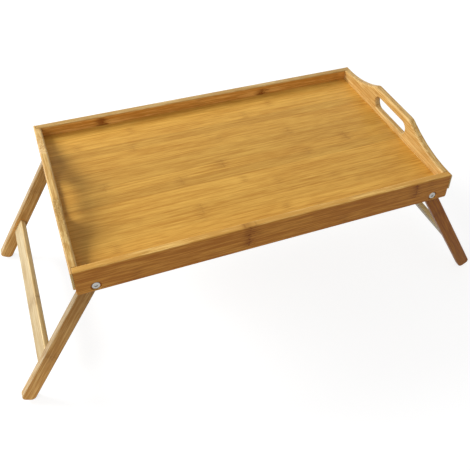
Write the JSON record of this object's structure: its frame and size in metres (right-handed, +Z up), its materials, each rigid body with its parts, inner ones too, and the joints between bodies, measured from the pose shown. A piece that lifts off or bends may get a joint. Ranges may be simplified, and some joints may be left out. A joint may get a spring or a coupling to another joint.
{
  "type": "folding bed tray table",
  "caption": "Shallow rectangular bamboo bed tray with a raised hand-slot handle at each end, standing on splayed leg frames that fold flat underneath.",
  "frame": {"origin": "on the floor, under the middle of the tray, with the legs open", "axes": "+X along the tray's length, +Y to the back rail, +Z up"},
  "size_m": [0.6806, 0.3, 0.2416],
  "materials": {
    "bamboo": "clear satin lacquer on strip-laminated bamboo",
    "plated_steel": "bright zinc plated"
  },
  "bodies": {
    "tray": {"tray_panel": "bamboo", "front_rail": "bamboo", "rear_rail": "bamboo", "left_end_board": "bamboo", "right_end_board": "bamboo", "pivot_bolts": "plated_steel", "spacer_washers": "plated_steel", "nut_washers": "plated_steel", "lock_nuts": "plated_steel"},
    "left_leg_frame": {"left_front_leg": "bamboo", "left_rear_leg": "bamboo", "left_crossbar": "bamboo"},
    "right_leg_frame": {"right_front_leg": "bamboo", "right_rear_leg": "bamboo", "right_crossbar": "bamboo"}
  },
  "joints": [
    {"name": "left_legs_fold", "type": "hinge", "parent": "tray", "child": "left_leg_frame", "pos_m": [-0.225, 0, 0.18812], "axis": [0, -1, 0], "range_deg": [0, 120.5]},
    {"name": "right_legs_fold", "type": "hinge", "parent": "tray", "child": "right_leg_frame", "pos_m": [0.225, 0, 0.18812], "axis": [0, 1, 0], "range_deg": [0, 120.5]}
  ]
}
